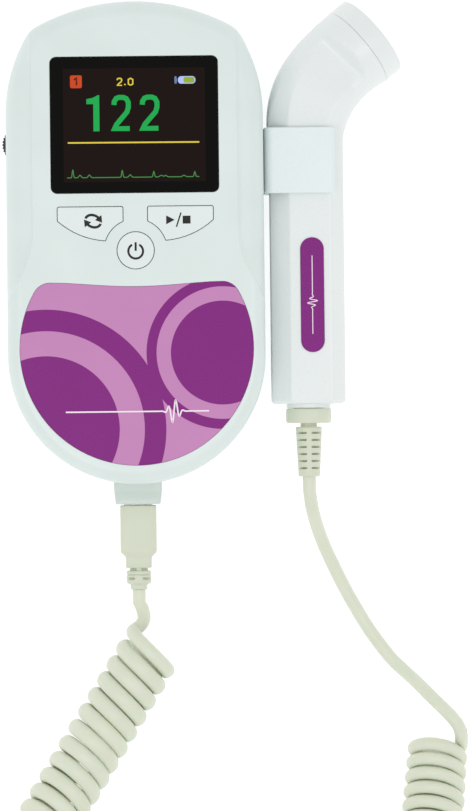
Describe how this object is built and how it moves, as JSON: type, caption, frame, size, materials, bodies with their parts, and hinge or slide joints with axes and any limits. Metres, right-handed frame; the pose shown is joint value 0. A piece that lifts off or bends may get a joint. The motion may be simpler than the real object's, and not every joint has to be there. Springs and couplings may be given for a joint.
{
  "type": "fetal doppler monitor",
  "caption": "Hand-held fetal doppler with a colour screen, three keys, a printed panel, a probe in a side holder and a curly lead.",
  "frame": {"origin": "middle of the monitor's back face, which lies on the table", "axes": "+X to the probe's side, +Y up the monitor's face, +Z out of its screen side"},
  "size_m": [0.1326, 0.2876, 0.0353],
  "materials": {
    "case_white": "satin",
    "key_white": "satin",
    "gloss_black": "gloss",
    "panel_pink": "satin",
    "label_purple": "satin",
    "cord_cream": "matt",
    "face_grey": "satin",
    "dark_grey": "matt",
    "board_green": "satin",
    "plated_steel": "bright",
    "ceramic": "matt"
  },
  "bodies": {
    "monitor": {"rear_shell": "case_white", "front_shell": "case_white", "screen_window": "gloss_black", "display_module": "dark_grey", "display_frame": "case_white", "main_board": "board_green", "label_panel": "panel_pink", "mode_switch": "dark_grey", "play_switch": "dark_grey", "power_switch": "dark_grey", "volume_pot": "dark_grey", "speaker": "dark_grey", "battery_cell_left": "plated_steel", "battery_cell_right": "plated_steel", "contact_link": "plated_steel", "contact_positive": "plated_steel", "contact_negative": "plated_steel", "socket_housing": "case_white", "socket_insert": "dark_grey", "probe_holder": "case_white", "holder_screw_1": "plated_steel", "holder_screw_2": "plated_steel", "case_screw_1": "plated_steel", "case_screw_2": "plated_steel", "case_screw_3": "plated_steel", "case_screw_4": "plated_steel", "cord_lead_monitor": "cord_cream", "cord_coil": "cord_cream", "cord_lead_probe": "cord_cream"},
    "mode_key": {"mode_key": "key_white"},
    "play_key": {"play_key": "key_white"},
    "power_key": {"power_key": "key_white"},
    "volume_wheel": {"volume_wheel": "dark_grey"},
    "battery_door": {"battery_door": "case_white"},
    "probe": {"probe_front_shell": "case_white", "probe_rear_shell": "case_white", "probe_head_ring": "case_white", "probe_lens": "face_grey", "crystal_transmit": "ceramic", "crystal_receive": "ceramic", "crystal_backing": "dark_grey", "probe_board": "board_green", "probe_label": "label_purple", "probe_collar": "cord_cream", "probe_boot": "cord_cream"},
    "plug": {"plug_body": "cord_cream", "plug_shell": "plated_steel", "plug_boot": "cord_cream"}
  },
  "joints": [
    {"name": "mode_key_press", "type": "slide", "parent": "monitor", "child": "mode_key", "axis": [0, 0, -1], "range_m": [0, 0.0006], "stiffness_N_per_m": 400},
    {"name": "play_key_press", "type": "slide", "parent": "monitor", "child": "play_key", "axis": [0, 0, -1], "range_m": [0, 0.0006], "stiffness_N_per_m": 400},
    {"name": "power_key_press", "type": "slide", "parent": "monitor", "child": "power_key", "axis": [0, 0, -1], "range_m": [0, 0.0006], "stiffness_N_per_m": 400},
    {"name": "volume_turn", "type": "hinge", "parent": "monitor", "child": "volume_wheel", "pos_m": [-0.0317, 0.0278, 0.0252], "axis": [0, 0, 1], "range_deg": [0, 270]},
    {"name": "battery_door_slide", "type": "slide", "parent": "monitor", "child": "battery_door", "axis": [0, -1, 0], "range_m": [0, 0.02]},
    {"name": "probe_slide", "type": "slide", "parent": "monitor", "child": "probe", "axis": [1, 0, 0], "range_m": [0, 0.03], "deforming": ["cord_lead_probe"]},
    {"name": "plug_slide", "type": "slide", "parent": "monitor", "child": "plug", "axis": [0, -1, 0], "range_m": [0, 0.005], "deforming": ["cord_lead_monitor"]}
  ]
}
